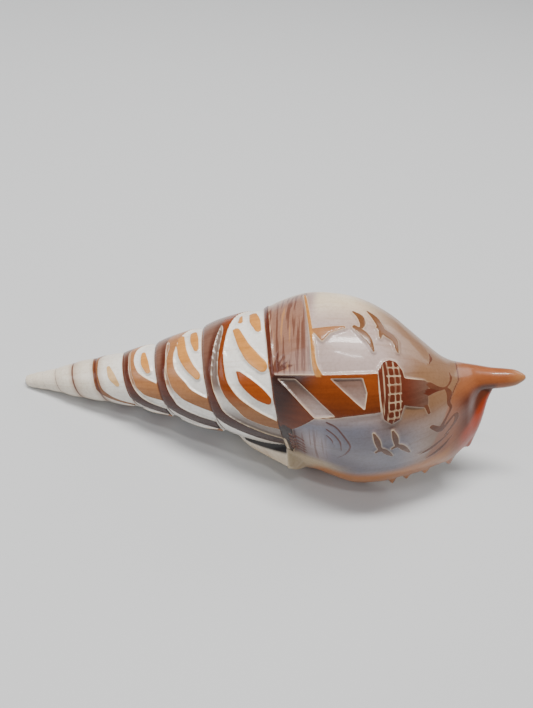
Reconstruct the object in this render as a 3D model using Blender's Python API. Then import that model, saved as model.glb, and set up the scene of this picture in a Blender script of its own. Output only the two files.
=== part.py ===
"""Tibia shell lying on its aperture, as one closed solid.

The shell winds to the right round its own axis. A place on it is given by a whorl count, from the
apex, and by a turn from 0 to 1 that ends at the lip's edge. The tables are in millimetres, read along
the axis from the apex; the finished mesh is in metres, +Z up, its apex towards -X and its lip towards
-Y, with the origin under the middle of its box.
"""
import math

import bmesh
import bpy
import numpy as np

MM = 0.001
LENGTH = 150.0
APERTURE_END = 141.0

# How the shell lies: the lip's edge round the axis, counted from +Y over +Z, and the axis over the floor.
LIP_ANGLE = math.radians(238.3)
AXIS_RISE = math.radians(14.9)

# Growth of the whorls: the scale grows by this factor in a turn about a point before the apex.
TURN_GROWTH = 1.28
GROWTH_CENTRE = -5.0
PROFILE_TURN = 0.479

# Sutures: place along the axis against turns made, 7 and 8 being the start and end of the last turn.
PENULTIMATE = 7.0
LAST = 8.0
SUTURE_PATH = (
    (-2.3, 0.35), (-1.29, 1.6), (-0.29, 4.0), (0.71, 7.5), (1.71, 12.2), (2.71, 18.5), (3.71, 26.4), (4.71, 35.9),
    (5.46, 43.7), (5.95, 49.9), (6.46, 58.5), (6.95, 65.4), (7.46, 76.7), (7.71, 81.0), (8.0, 83.8))

# Profiles: radius against place along the axis.
SPIRE_RADIUS = (
    (0.0, 1.25), (1.6, 1.8), (4.0, 2.35), (7.5, 2.9), (12.0, 3.8), (17.0, 5.1), (24.0, 6.35), (33.0, 7.9),
    (43.5, 10.5), (58.6, 15.0), (77.0, 19.8), (84.0, 21.3))
BODY_RADIUS = (
    (60.0, 13.0), (72.0, 17.5), (76.7, 20.1), (80.3, 21.7), (84.8, 23.2), (89.2, 24.2), (93.5, 24.3), (97.8, 23.8),
    (102.1, 22.9), (106.3, 21.2), (110.5, 18.7), (113.3, 16.6), (116.0, 14.0), (118.8, 11.0), (121.5, 8.2),
    (124.2, 5.7), (127.0, 3.8), (129.7, 2.2), (134.0, 0.6), (140.0, 0.0), (200.0, 0.0))
LIP_RADIUS = (
    (65.0, 16.7), (68.6, 19.2), (72.0, 21.4), (76.0, 23.4), (80.0, 25.3), (84.0, 27.2), (87.5, 28.3), (91.0, 29.0),
    (94.5, 30.4), (98.0, 31.9), (102.0, 33.0), (106.0, 33.1), (110.0, 32.7), (115.0, 31.3), (120.0, 29.9),
    (125.0, 27.5), (129.0, 25.2), (132.4, 22.0), (135.0, 18.9), (137.1, 15.3), (138.4, 11.4), (139.4, 7.3),
    (140.2, 4.9), (141.0, 3.05))
CANAL_RADIUS = (
    (90.0, 0.0), (104.0, 4.6), (114.0, 5.1), (122.0, 4.8), (130.0, 4.4), (136.0, 3.8), (141.0, 3.05), (145.0, 2.65),
    (147.5, 2.1), (149.2, 1.1), (150.0, 0.45))
CANAL_BEND = ((0.0, 0.0), (106.0, 0.0), (113.0, 0.05), (122.0, 0.55), (132.0, 1.8), (142.0, 2.4), (150.0, 2.3))
CANAL_GROOVE_ANGLE = math.radians(28.0)
CANAL_GROOVE_WIDTH = math.radians(24.0)
CANAL_GROOVE_DEPTH = ((120.0, 0.0), (130.0, 1.1), (140.0, 1.3), (147.0, 0.9), (150.0, 0.1))
WHORL_SWELL = 0.042

# Lip: where it starts to flare, the wing that runs from it up the spire, its edge and its teeth.
FLARE_TURN = 0.865
WING_EDGE = ((64.0, 1.0), (66.0, 0.985), (70.0, 0.95), (74.0, 0.937), (79.0, 0.925), (84.0, 0.915))
WING_STEP = 0.014
WING_SPREAD = 0.008
WING_REACH = 12.0
LIP_THICKNESS = 2.8
LIP_NOSE = 0.9
TOOTH_PLACES = (112.8, 116.9, 122.4, 129.4, 135.0)
TOOTH_HEIGHTS = (2.3, 1.8, 1.6, 1.8, 1.6)
TOOTH_HALF_WIDTH = 1.1
TOOTH_TURN = 0.02

# Callus: the pad of glaze beside the aperture, along the axis and round it, in turns past the lip's edge.
CALLUS_THICKNESS = 1.0
CALLUS_SPAN = (70.0, 80.0, 112.0, 128.0)
CALLUS_TURN = 0.125
CALLUS_EDGE = 0.03

# Aperture: how far it reaches in, in turns, with its two ends and its wall.
APERTURE_DEPTH = 0.3
APERTURE_SHORTENS = 17.0
WING_DEPTH = 0.06
WALL = 2.0
LEAST_OPENING = 0.35

# Rows and columns of the mesh.
WHORL_ROWS = (0.0, 0.12, 0.42, 0.76)
LIP_ROWS = (84.6, 86.5, 89.0, 92.0, 95.0, 98.0, 101.5, 105.0, 108.5, 119.6, 125.9, 132.3, 137.0, 138.2, 139.2, 140.1,
            APERTURE_END)
CANAL_ROWS = (142.6, 144.4, 146.2, 147.7, 149.0, 149.75)
EVEN_COLUMNS = 36
LIP_COLUMNS = (0.895, 0.915, 0.93, 0.945, 0.965, 0.983, 1.0)
DEPTH_COLUMNS = (0.012, 0.03, 0.06, 0.1, 0.15, 0.2, 0.25, 0.29)

REST_WEAR = 0.4
SHORTEST_EDGE = 0.03
SHELL_COLOUR = (0.62, 0.45, 0.33, 1.0)


def smooth_curve(knots):
    """Cubic Hermite curve through the knots, with slopes taken from the neighbouring knots."""
    place, value = np.array(knots, float).T
    slope = np.gradient(value, place)

    def curve(at):
        k = np.clip(np.searchsorted(place, at) - 1, 0, len(place) - 2)
        step = place[k + 1] - place[k]
        u = np.clip((at - place[k]) / step, 0.0, 1.0)
        start = (1 + 2 * u) * (1 - u) ** 2 * value[k] + u * (1 - u) ** 2 * step * slope[k]
        return start + u * u * (3 - 2 * u) * value[k + 1] + u * u * (u - 1) * step * slope[k + 1]
    return curve


suture_path = smooth_curve(SUTURE_PATH)
spire_radius = smooth_curve(SPIRE_RADIUS)
body_radius = smooth_curve(BODY_RADIUS)
lip_radius = smooth_curve(LIP_RADIUS)
canal_radius = smooth_curve(CANAL_RADIUS)
canal_bend = smooth_curve(CANAL_BEND)
groove_depth = smooth_curve(CANAL_GROOVE_DEPTH)
wing_edge = smooth_curve(WING_EDGE)


def ease(t):
    """Smooth step from 0 to 1."""
    t = np.clip(t, 0.0, 1.0)
    return t * t * (3 - 2 * t)


def angle_at(turn):
    """Angle round the axis at a turn of the last whorl."""
    return LIP_ANGLE - 2 * math.pi * (1 - turn)


def canal(x, turn):
    """Radius of the canal's tube, with the groove along its under side."""
    off = angle_at(turn) - LIP_ANGLE - CANAL_GROOVE_ANGLE
    off = (off + math.pi) % (2 * math.pi) - math.pi
    dip = groove_depth(x) * np.exp(-(off / CANAL_GROOVE_WIDTH) ** 2)
    return canal_radius(x) - dip


def whorl(x, turn):
    """Radius of the last whorl without its lip: the grown profile, joined smoothly to the canal."""
    scale = TURN_GROWTH ** (turn - PROFILE_TURN)

    def grown(at):
        return scale * body_radius((at - GROWTH_CENTRE) / scale + GROWTH_CENTRE)
    suture = suture_path(LAST - 1 + turn)
    belly = grown(x) + (spire_radius(suture) - grown(suture)) * np.exp(-(x - suture) / 6.0)
    belly = np.maximum(belly, 0.0) * (1 - ease((x - 133.0) / 8.0))
    return (belly ** 3 + canal(x, turn) ** 3) ** (1 / 3)


def inner_face(x, turn):
    """Radius of the turn that the aperture opens onto, with its callus."""
    along = ease((x - CALLUS_SPAN[0]) / (CALLUS_SPAN[1] - CALLUS_SPAN[0]))
    along = along * (1 - ease((x - CALLUS_SPAN[2]) / (CALLUS_SPAN[3] - CALLUS_SPAN[2])))
    around = (1 - ease((turn - CALLUS_TURN) / CALLUS_EDGE)) * ease(1 + turn / CALLUS_TURN)
    return whorl(x, turn) + CALLUS_THICKNESS * along * around


def teeth(x, turn):
    """Height of the lip's teeth: five round bumps close to the edge."""
    height = 0.0
    for place, tall in zip(TOOTH_PLACES, TOOTH_HEIGHTS):
        height = height + tall * np.exp(-((x - place) / TOOTH_HALF_WIDTH) ** 2)
    return height * ease((turn - 1 + TOOTH_TURN) / TOOTH_TURN)


def flare(x, turn):
    """How far the lip has flared, from 0 to 1: sooner beside the wing, where the flare widens with distance."""
    first = SUTURE_PATH[-1][1]
    spread = WING_STEP + WING_SPREAD * np.maximum(x - first, 0.0)
    beside = ease((turn - wing_edge(first)) / spread) * (1 - ease((x - first) / WING_REACH))
    return np.maximum(ease((turn - FLARE_TURN) / (1 - FLARE_TURN)) ** 1.5, beside)


def body(x, turn):
    """Radius of the last whorl, flared to the lip's own profile at its edge."""
    rise = lip_radius(np.maximum(x, SUTURE_PATH[-1][1])) - whorl(x, np.ones_like(turn))
    return inner_face(x, turn) + rise * flare(x, turn) * (x < APERTURE_END) + teeth(x, turn)


def spire(count, turn):
    """Radius of the spire: a swollen band between two sutures, with the lip's wing over the last one."""
    x = suture_path(count - 1 + turn)
    swell = 1 + WHORL_SWELL * np.sin(math.pi * (count % 1.0) ** 0.75)
    bare = spire_radius(x) * swell
    wing = ease((turn - wing_edge(x)) / WING_STEP) * (count > PENULTIMATE)
    return bare + np.maximum(lip_radius(x) - bare, 0.0) * wing


def place(x, radius, turn):
    """Points at a place along the axis, a radius and a turn, round the centre line that the canal bends."""
    angle = angle_at(turn)
    y = radius * np.cos(angle) + canal_bend(x) * math.cos(LIP_ANGLE)
    z = radius * np.sin(angle) + canal_bend(x) * math.sin(LIP_ANGLE)
    return np.stack([x + 0 * y, y, z], axis=-1)


def spire_grid(columns):
    """Grid of the spire, a row for each whorl count and a column for each turn, apex first."""
    counts = np.array([whole + part for whole in range(-2, int(LAST)) for part in WHORL_ROWS][3:])[:, None]
    turn = columns + 0 * counts
    return place(suture_path(counts - 1 + turn), spire(counts, turn), turn)


def body_grid(columns):
    """Grid of the last whorl, from its suture to the front end of the aperture, with rows at each tooth."""
    first = SUTURE_PATH[-1][1]
    toothed = [x + off for x in TOOTH_PLACES for off in (-TOOTH_HALF_WIDTH, 0.0, TOOTH_HALF_WIDTH)]
    share = (np.array(sorted(toothed + list(LIP_ROWS) + [first])) - first) / (APERTURE_END - first)
    share = share[:, None]
    turn = columns + 0 * share
    start = suture_path(LAST - 1 + turn)
    x = start + (APERTURE_END - start) * share
    return place(x, body(x, turn), turn)


def canal_grid(columns):
    """Grid of the canal beyond the aperture, to its tip."""
    x = np.array(CANAL_ROWS)[:, None] + 0 * columns
    turn = columns + 0 * x
    return place(x, body(x, turn), turn)


def lip_edge(x, radius):
    """Two rows that round the lip's edge, from the outer face to the inner one."""
    thick = np.minimum(LIP_THICKNESS, 0.6 * (radius - inner_face(x, np.zeros_like(x))))
    nose = LIP_NOSE * (thick / LIP_THICKNESS) / (2 * math.pi * radius)
    return [place(x, radius - 0.5 * thick, 1 + nose), place(x, radius - thick, np.ones_like(x))]


def wing_top(x, turn):
    """Radius of the wing over the last band of the spire."""
    wing = ease((turn - wing_edge(x)) / WING_STEP)
    return spire_radius(x) + np.maximum(lip_radius(x) - spire_radius(x), 0.0) * wing


def aperture_row(edge_x, depth, roof):
    """One row of the aperture's floor or roof, at a depth in turns behind the lip's edge.

    The floor is the turn before this one, and the roof is the last turn less its wall. The row draws in
    from the aperture's two ends as it goes deeper, and the roof comes down to the floor at the far end.
    """
    start = suture_path(PENULTIMATE)
    share = (edge_x - start) / (APERTURE_END - start)
    suture = suture_path(LAST - depth)
    back = start + (suture + 2.0 - start) * min(1.0, depth / WING_DEPTH) ** 0.8
    front = APERTURE_END - APERTURE_SHORTENS * (depth / APERTURE_DEPTH) ** 0.55
    x = back + (front - back) * share
    turn = np.full_like(x, 1 - depth)
    floor = inner_face(x, turn - 1)
    if not roof:
        return place(x, floor, turn)
    clear = np.where(x < suture, wing_top(x, turn), body(x, turn)) - floor
    opening = np.maximum(clear - WALL, LEAST_OPENING * clear)
    return place(x, floor + opening * (1 - ease(depth / APERTURE_DEPTH) ** 2), turn)


def add_face(mesh, corners):
    """Add a face, leaving out a corner that repeats the one before it."""
    kept = [v for k, v in enumerate(corners) if v is not corners[k - 1]]
    if len(kept) > 2:
        mesh.faces.new(kept)


def add_quads(mesh, rows):
    """Add quads between rows of vertices; they face out where a row turns with the shell's growth."""
    for low, high in zip(rows, rows[1:]):
        for a, b, c, d in zip(low, low[1:], high[1:], high):
            add_face(mesh, (a, b, c, d))


def add_fan(mesh, ring, tip):
    """Close a ring of vertices by triangles to a tip."""
    pole = mesh.verts.new(tip)
    for a, b in zip(ring, ring[1:] + ring[:1]):
        mesh.faces.new((a, b, pole))


def add_zipper(mesh, left, right):
    """Join two rows that have different numbers of vertices, each edge to the nearest vertex opposite."""
    i = j = 0
    while i < len(left) - 1 or j < len(right) - 1:
        take_left = j == len(right) - 1
        if i < len(left) - 1 and not take_left:
            take_left = left[i].co.x + left[i + 1].co.x < right[j].co.x + right[j + 1].co.x
        if take_left:
            add_face(mesh, (left[i], right[j], left[i + 1]))
            i += 1
        else:
            add_face(mesh, (right[j], right[j + 1], left[i]))
            j += 1


def add_outside(mesh, columns):
    """Add the spire, the last whorl and the canal as one winding strip, and return its rows of vertices."""
    spire_points, body_points, canal_points = spire_grid(columns), body_grid(columns), canal_grid(columns)
    points = np.concatenate([spire_points, body_points, canal_points])
    first_body, last_body = len(spire_points), len(spire_points) + len(body_points) - 1
    turn_rows = len(WHORL_ROWS)
    rows = [[mesh.verts.new(p) for p in row[:-1]] for row in points]
    for i, row in enumerate(rows):
        if i + turn_rows <= first_body:
            row.append(rows[i + turn_rows][0])
        elif i < last_body:
            row.append(mesh.verts.new(points[i, -1]))
        else:
            row.append(row[0])
    add_quads(mesh, rows)
    apex_ring = rows[0] + [rows[k][0] for k in range(turn_rows - 1, 0, -1)]
    add_fan(mesh, apex_ring[::-1], (0.0, 0.0, 0.0))
    add_fan(mesh, rows[-1][:-1], place(np.array(LENGTH), np.array(0.0), np.array(0.0)))
    lip = [row[-1] for row in rows[first_body - turn_rows:last_body + 1]]
    inner = [row[0] for row in rows[first_body:last_body + 1]]
    return lip, inner


def add_aperture(mesh, lip, inner):
    """Add the lip's rounded edge and the aperture's roof and floor, closed at the far end."""
    def row_of(points, ends):
        return [ends[0]] + [mesh.verts.new(p) for p in points[1:-1]] + [ends[-1]]

    lip_x = np.array([v.co.x for v in lip])
    lip_r = lip_radius(lip_x) + teeth(lip_x, np.ones_like(lip_x))
    inner_x = np.array([v.co.x for v in inner])
    roof = [lip] + [row_of(points, lip) for points in lip_edge(lip_x, lip_r)]
    floor = [inner]
    for depth in DEPTH_COLUMNS:
        points = aperture_row(inner_x, depth, roof=False)
        floor.append([mesh.verts.new(p) for p in points])
        roof.append(row_of(aperture_row(lip_x, depth, roof=True), floor[-1]))
    add_quads(mesh, list(zip(*roof)))
    add_quads(mesh, list(zip(*floor[::-1])))
    add_zipper(mesh, roof[-1], floor[-1])


def lay_down(mesh):
    """Tip the axis up from the floor, centre the box over the origin and wear the lowest spots flat."""
    cos_rise, sin_rise = math.cos(AXIS_RISE), math.sin(AXIS_RISE)
    x, y, z = np.array([v.co for v in mesh.verts]).T
    points = np.stack([x * cos_rise - z * sin_rise, y, x * sin_rise + z * cos_rise], axis=1)
    low, high = points.min(axis=0), points.max(axis=0)
    points -= ((low[0] + high[0]) / 2, (low[1] + high[1]) / 2, low[2] + REST_WEAR)
    for vert, point in zip(mesh.verts, points):
        vert.co = point
    everything = mesh.verts[:] + mesh.edges[:] + mesh.faces[:]
    bmesh.ops.bisect_plane(
        mesh, geom=everything, dist=SHORTEST_EDGE, plane_co=(0, 0, 0), plane_no=(0, 0, 1), clear_inner=True)
    for vert in mesh.verts:
        if vert.co.z < SHORTEST_EDGE:
            vert.co.z = 0.0
    bmesh.ops.remove_doubles(mesh, verts=mesh.verts, dist=SHORTEST_EDGE)
    bmesh.ops.holes_fill(mesh, edges=[e for e in mesh.edges if e.is_boundary])
    bmesh.ops.scale(mesh, vec=(MM, MM, MM), verts=mesh.verts)


def shell_material():
    """Cream, brown-banded shell with a low gloss."""
    material = bpy.data.materials.new("carved_shell")
    material.use_nodes = True
    shader = material.node_tree.nodes["Principled BSDF"]
    shader.inputs["Base Color"].default_value = SHELL_COLOUR
    shader.inputs["Roughness"].default_value = 0.35
    shader.inputs["Metallic"].default_value = 0.0
    material.diffuse_color = SHELL_COLOUR
    return material


def build_shell():
    """Make the shell's object."""
    columns = np.concatenate([np.linspace(0.0, LIP_COLUMNS[0], EVEN_COLUMNS)[:-1], LIP_COLUMNS])
    mesh = bmesh.new()
    lip, inner = add_outside(mesh, columns)
    add_aperture(mesh, lip, inner)
    lay_down(mesh)
    bmesh.ops.triangulate(mesh, faces=mesh.faces)
    data = bpy.data.meshes.new("shell")
    mesh.to_mesh(data)
    mesh.free()
    data.shade_smooth()
    data.materials.append(shell_material())
    shell = bpy.data.objects.new("shell", data)
    bpy.context.scene.collection.objects.link(shell)
    return shell


for leftover in list(bpy.data.objects):
    bpy.data.objects.remove(leftover, do_unlink=True)
build_shell()
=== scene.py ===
"""Looks of the carved tibia shell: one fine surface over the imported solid, its cameo carving and its stage.

Lengths are in millimetres until a mesh is made. A place on the shell is given by its distance along the
axis from the apex, by its side, the angle round the axis in degrees from the side that faces the camera
towards the lip, and on the spire by its band, 0 at one suture and 1 at the next.
"""

import math

import bpy
import numpy as np
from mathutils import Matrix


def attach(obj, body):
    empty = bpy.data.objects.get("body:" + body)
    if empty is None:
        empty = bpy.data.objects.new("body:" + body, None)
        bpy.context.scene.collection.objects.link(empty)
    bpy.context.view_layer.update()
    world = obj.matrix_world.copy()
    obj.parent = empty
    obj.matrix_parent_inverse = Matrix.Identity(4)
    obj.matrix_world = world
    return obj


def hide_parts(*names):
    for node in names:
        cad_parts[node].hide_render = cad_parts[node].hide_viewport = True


bl_info = {
    "name": "Carved tibia shell",
    "version": (1, 0, 0),
    "blender": (4, 5, 0),
    "location": "3D View > Sidebar > Shell",
    "description": "Builds a cameo-carved tibia shell and the stage it lies on",
    "category": "Object",
}

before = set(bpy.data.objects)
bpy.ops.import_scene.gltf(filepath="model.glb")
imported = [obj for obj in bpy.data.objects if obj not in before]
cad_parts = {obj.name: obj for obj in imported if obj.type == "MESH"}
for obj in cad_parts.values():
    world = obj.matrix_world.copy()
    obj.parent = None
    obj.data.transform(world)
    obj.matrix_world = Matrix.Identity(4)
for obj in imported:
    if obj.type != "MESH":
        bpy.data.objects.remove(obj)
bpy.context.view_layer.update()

MM = 0.001

# The shell's own form, as the solid has it.
LENGTH = 150.0
APERTURE_END = 141.0
APEX_PLACE = (-72.730, 1.597, 1.022)
LIP_ANGLE = math.radians(238.3)
AXIS_RISE = math.radians(14.9)
LIP_SIDE = 103.0

TURN_GROWTH = 1.28
GROWTH_CENTRE = -5.0
PROFILE_TURN = 0.479
SHOULDER_REACH = 6.0
BELLY_END = 133.0
BELLY_FADE = 8.0

# Counts of whorls from the apex: the first carved one, the last but one and the last.
FIRST_CARVED = 4
PENULTIMATE = 7.0
LAST = 8.0

# Curves of the form: the suture's place by count of whorls, and the rest by distance along the axis.
SUTURE_PATH = (
    (-2.3, 0.35), (-1.29, 1.6), (-0.29, 4), (0.71, 7.5), (1.71, 12.2), (2.71, 18.5), (3.71, 26.4),
    (4.71, 35.9), (5.46, 43.7), (5.95, 49.9), (6.46, 58.5), (6.95, 65.4), (7.46, 76.7), (7.71, 81),
    (8, 83.8))
SPIRE_RADIUS = (
    (0, 1.25), (1.6, 1.8), (4, 2.35), (7.5, 2.9), (12, 3.8), (17, 5.1), (24, 6.35), (33, 7.9), (43.5, 10.5),
    (58.6, 15), (77, 19.8), (84, 21.3))
BODY_RADIUS = (
    (60, 13), (72, 17.5), (76.7, 20.1), (80.3, 21.7), (84.8, 23.2), (89.2, 24.2), (93.5, 24.3),
    (97.8, 23.8), (102.1, 22.9), (106.3, 21.2), (110.5, 18.7), (113.3, 16.6), (116, 14), (118.8, 11),
    (121.5, 8.2), (124.2, 5.7), (127, 3.8), (129.7, 2.2), (134, 0.6), (140, 0), (200, 0))
LIP_RADIUS = (
    (65, 16.7), (68.6, 19.2), (72, 21.4), (76, 23.4), (80, 25.3), (84, 27.2), (87.5, 28.3), (91, 29),
    (94.5, 30.4), (98, 31.9), (102, 33), (106, 33.1), (110, 32.7), (115, 31.3), (120, 29.9), (125, 27.5),
    (129, 25.2), (132.4, 22), (135, 18.9), (137.1, 15.3), (138.4, 11.4), (139.4, 7.3), (140.2, 4.9),
    (141, 3.05))
CANAL_RADIUS = (
    (90, 0), (104, 4.6), (114, 5.1), (122, 4.8), (130, 4.4), (136, 3.8), (141, 3.05), (145, 2.65),
    (147.5, 2.1), (149.2, 1.1), (150, 0.45))
CANAL_BEND = ((0, 0), (106, 0), (113, 0.05), (122, 0.55), (132, 1.8), (142, 2.4), (150, 2.3))
CANAL_GROOVE_ANGLE = math.radians(28.0)
CANAL_GROOVE_WIDTH = math.radians(24.0)
CANAL_GROOVE_DEPTH = ((120, 0), (130, 1.1), (140, 1.3), (147, 0.9), (150, 0.1))
WHORL_SWELL = 0.042
SWELL_SKEW = 0.75

FLARE_TURN = 0.865
FLARE_POWER = 1.5
WING_EDGE = ((64, 1), (66, 0.985), (70, 0.95), (74, 0.937), (79, 0.925), (84, 0.915))
WING_STEP = 0.014
WING_SPREAD = 0.008
WING_REACH = 12.0
LIP_THICKNESS = 2.8
LIP_NOSE = 0.9
TOOTH_PLACES = (112.8, 116.9, 122.4, 129.4, 135.0)
TOOTH_HEIGHTS = (2.3, 1.8, 1.6, 1.8, 1.6)
TOOTH_HALF_WIDTH = 1.1
TOOTH_TURN = 0.02

CALLUS_THICKNESS = 1.0
CALLUS_SPAN = (70.0, 80.0, 112.0, 128.0)
CALLUS_TURN = 0.125
CALLUS_EDGE = 0.03

APERTURE_DEPTH = 0.3
APERTURE_SHORTENS = 17.0
WING_DEPTH = 0.06
WALL = 2.0
LEAST_OPENING = 0.35

# Rows and columns of the fine surface. A row of the spire is a count of whorls, and a column is a turn. Rows
# are closer on the carved whorls, and columns on the carved side. Depths are turns into the aperture.
FIRST_COUNT = -1.25
PLAIN_ROWS = 4
CARVED_ROWS = 32
BODY_ROWS = 140
CANAL_ROWS = 11
CANAL_CROWDING = 0.85
TIP_SHORT = 0.2
HIDDEN_COLUMNS = 72
SHOWN_COLUMNS = 232
SHOWN_FROM = 0.44
DEPTHS = (0.006, 0.016, 0.03, 0.05, 0.075, 0.105, 0.14, 0.18, 0.225, 0.265, 0.29)
RIM_STEPS = 4

# Looks that the surface carries to its material: signed distances in millimetres, positive inside a figure,
# then shares from 0 to 1, then colours. FAR is a distance that is far outside every figure. TURNED_RADIUS is
# the radius at which growth lines are laid out, and INSIDE_FADE the depth where the lip's tan has gone.
DISTANCES = ("raised", "pale", "dark", "gap")
SHARES = ("panel", "reed")
COLOURS = ("tint", "ground")
FAR = -2.0
TURNED_RADIUS = 20.0
INSIDE_FADE = 0.05


def linear(colour):
    """Scene-linear red, green and blue of a colour given in screen values from 0 to 255."""
    c = np.array(colour, float) / 255.0
    return np.where(c <= 0.04045, c / 12.92, ((c + 0.055) / 1.055) ** 2.4)


# Colours, from what a maker would pick on screen.
CREAM = linear((250, 232, 200))
APEX_WHITE = linear((242, 232, 214))
CARVED_WHITE = linear((250, 247, 240))
CUT_LINE = linear((240, 212, 172))
BROWN = linear((94, 42, 24))
# Umber, used only to paint shade.
SHADE_UMBER = linear((60, 30, 24))
ORANGE = linear((160, 76, 20))
GOLD = linear((222, 152, 76))
PALE_GOLD = linear((228, 184, 126))
TAN = linear((182, 124, 78))
ROSE = linear((158, 116, 96))
SKY_GREY = linear((192, 170, 163))
LAVENDER_AND_REFLECTED_BLUE = linear((114, 118, 136))
BEIGE = linear((170, 126, 90))
CANAL_TAN = linear((158, 88, 46))
LIP_TAN = linear((186, 118, 52))
LIP_RED = linear((176, 60, 14))
CLOUD_BROWN = linear((112, 66, 44))
INSIDE_WHITE = linear((238, 224, 204))


class ShellSizes(bpy.types.PropertyGroup):
    """Sizes of the carving that a user may change."""
    cut_depth: bpy.props.FloatProperty(
        name="Cut depth", description="How deep the ground is cut below the raised figures",
        default=0.6 * MM, min=0.0, max=1.2 * MM, subtype="DISTANCE", unit="LENGTH")
    wall_width: bpy.props.FloatProperty(
        name="Wall width", description="Width of the slope between ground and figure",
        default=0.55 * MM, min=0.1 * MM, max=2.0 * MM, subtype="DISTANCE", unit="LENGTH")
    line_depth: bpy.props.FloatProperty(
        name="Line depth", description="Depth of an engraved line",
        default=0.14 * MM, min=0.0, max=0.6 * MM, subtype="DISTANCE", unit="LENGTH")
    gloss: bpy.props.FloatProperty(
        name="Gloss", description="Strength of the polished coat",
        default=0.4, min=0.0, max=1.0, subtype="FACTOR")


class ShellColours(bpy.types.PropertyGroup):
    """Colours of the shell's layers that a user may change."""
    cut_line: bpy.props.FloatVectorProperty(
        name="Cut edge", description="Pale layer that shows along a cut edge", subtype="COLOR", size=3,
        default=tuple(CUT_LINE), min=0.0, max=1.0)
    scratch: bpy.props.FloatVectorProperty(
        name="Scratch", description="Brown of the scratched strokes", subtype="COLOR", size=3,
        default=tuple(BROWN), min=0.0, max=1.0)
    backdrop: bpy.props.FloatVectorProperty(
        name="Floor", description="Colour of the floor", subtype="COLOR", size=3,
        default=(0.64, 0.65, 0.66), min=0.0, max=1.0)


def smooth_curve(knots):
    """Cubic Hermite curve through the knots, with slopes taken from the neighbouring knots."""
    place, value = np.array(knots, float).T
    slope = np.gradient(value, place)

    def curve(at):
        k = np.clip(np.searchsorted(place, at) - 1, 0, len(place) - 2)
        step = place[k + 1] - place[k]
        u = np.clip((at - place[k]) / step, 0.0, 1.0)
        start = (1 + 2 * u) * (1 - u) ** 2 * value[k] + u * (1 - u) ** 2 * step * slope[k]
        return start + u * u * (3 - 2 * u) * value[k + 1] + u * u * (u - 1) * step * slope[k + 1]
    return curve


suture_path = smooth_curve(SUTURE_PATH)
spire_radius = smooth_curve(SPIRE_RADIUS)
body_radius = smooth_curve(BODY_RADIUS)
lip_radius = smooth_curve(LIP_RADIUS)
canal_radius = smooth_curve(CANAL_RADIUS)
canal_bend = smooth_curve(CANAL_BEND)
groove_depth = smooth_curve(CANAL_GROOVE_DEPTH)
wing_edge = smooth_curve(WING_EDGE)


def ease(t):
    """Smooth step from 0 to 1: three t squared less two t cubed."""
    t = np.clip(t, 0.0, 1.0)
    return t * t * (3 - 2 * t)


def between(value, low, high):
    """Smooth share of the way from low to high."""
    return ease((value - low) / (high - low))


def angle_at(turn):
    """Angle round the axis at a turn of the last whorl, in radians."""
    return LIP_ANGLE - 2 * math.pi * (1 - turn)


def side_at(turn):
    """Side in degrees, from -180 to 180: 0 faces the camera and grows towards the lip."""
    return (LIP_SIDE - 360 * (1 - turn) + 180) % 360 - 180


def canal(x, turn):
    """Radius of the canal's tube: its profile less a rounded groove along its under side."""
    off = angle_at(turn) - LIP_ANGLE - CANAL_GROOVE_ANGLE
    off = (off + math.pi) % (2 * math.pi) - math.pi
    return canal_radius(x) - groove_depth(x) * np.exp(-(off / CANAL_GROOVE_WIDTH) ** 2)


def whorl(x, turn):
    """Radius of the last whorl without its lip.

    The belly is its profile scaled by growth, drawn to the spire's radius at the suture and faded out before
    the aperture's end. Belly and canal are joined by the cube root of the sum of their cubes.
    """
    scale = TURN_GROWTH ** (turn - PROFILE_TURN)

    def grown(at):
        return scale * body_radius((at - GROWTH_CENTRE) / scale + GROWTH_CENTRE)
    suture = suture_path(LAST - 1 + turn)
    belly = grown(x) + (spire_radius(suture) - grown(suture)) * np.exp(-(x - suture) / SHOULDER_REACH)
    belly = np.maximum(belly, 0.0) * (1 - ease((x - BELLY_END) / BELLY_FADE))
    return (belly ** 3 + canal(x, turn) ** 3) ** (1 / 3)


def inner_face(x, turn):
    """Radius of the turn that the aperture opens onto: the whorl and a smooth-edged pad of callus."""
    along = ease((x - CALLUS_SPAN[0]) / (CALLUS_SPAN[1] - CALLUS_SPAN[0]))
    along = along * (1 - ease((x - CALLUS_SPAN[2]) / (CALLUS_SPAN[3] - CALLUS_SPAN[2])))
    around = (1 - ease((turn - CALLUS_TURN) / CALLUS_EDGE)) * ease(1 + turn / CALLUS_TURN)
    return whorl(x, turn) + CALLUS_THICKNESS * along * around


def teeth(x, turn):
    """Height of the lip's teeth: five bell curves along the axis, raised close to the edge."""
    height = 0.0
    for place, tall in zip(TOOTH_PLACES, TOOTH_HEIGHTS):
        height = height + tall * np.exp(-((x - place) / TOOTH_HALF_WIDTH) ** 2)
    return height * ease((turn - 1 + TOOTH_TURN) / TOOTH_TURN)


def flare(x, turn):
    """How far the lip has flared, from 0 to 1: sooner beside the wing, and there wider with distance."""
    first = SUTURE_PATH[-1][1]
    spread = WING_STEP + WING_SPREAD * np.maximum(x - first, 0.0)
    beside = ease((turn - wing_edge(first)) / spread) * (1 - ease((x - first) / WING_REACH))
    return np.maximum(ease((turn - FLARE_TURN) / (1 - FLARE_TURN)) ** FLARE_POWER, beside)


def body(x, turn):
    """Radius of the last whorl: its inner face raised by the flare to the lip's profile, plus its teeth."""
    rise = lip_radius(np.maximum(x, SUTURE_PATH[-1][1])) - whorl(x, np.ones_like(turn))
    return inner_face(x, turn) + rise * flare(x, turn) * (x < APERTURE_END) + teeth(x, turn)


def wing_share(x, turn, count):
    """How far the lip's wing covers the last band of the spire, from 0 to 1."""
    return ease((turn - wing_edge(x)) / WING_STEP) * (count > PENULTIMATE)


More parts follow.
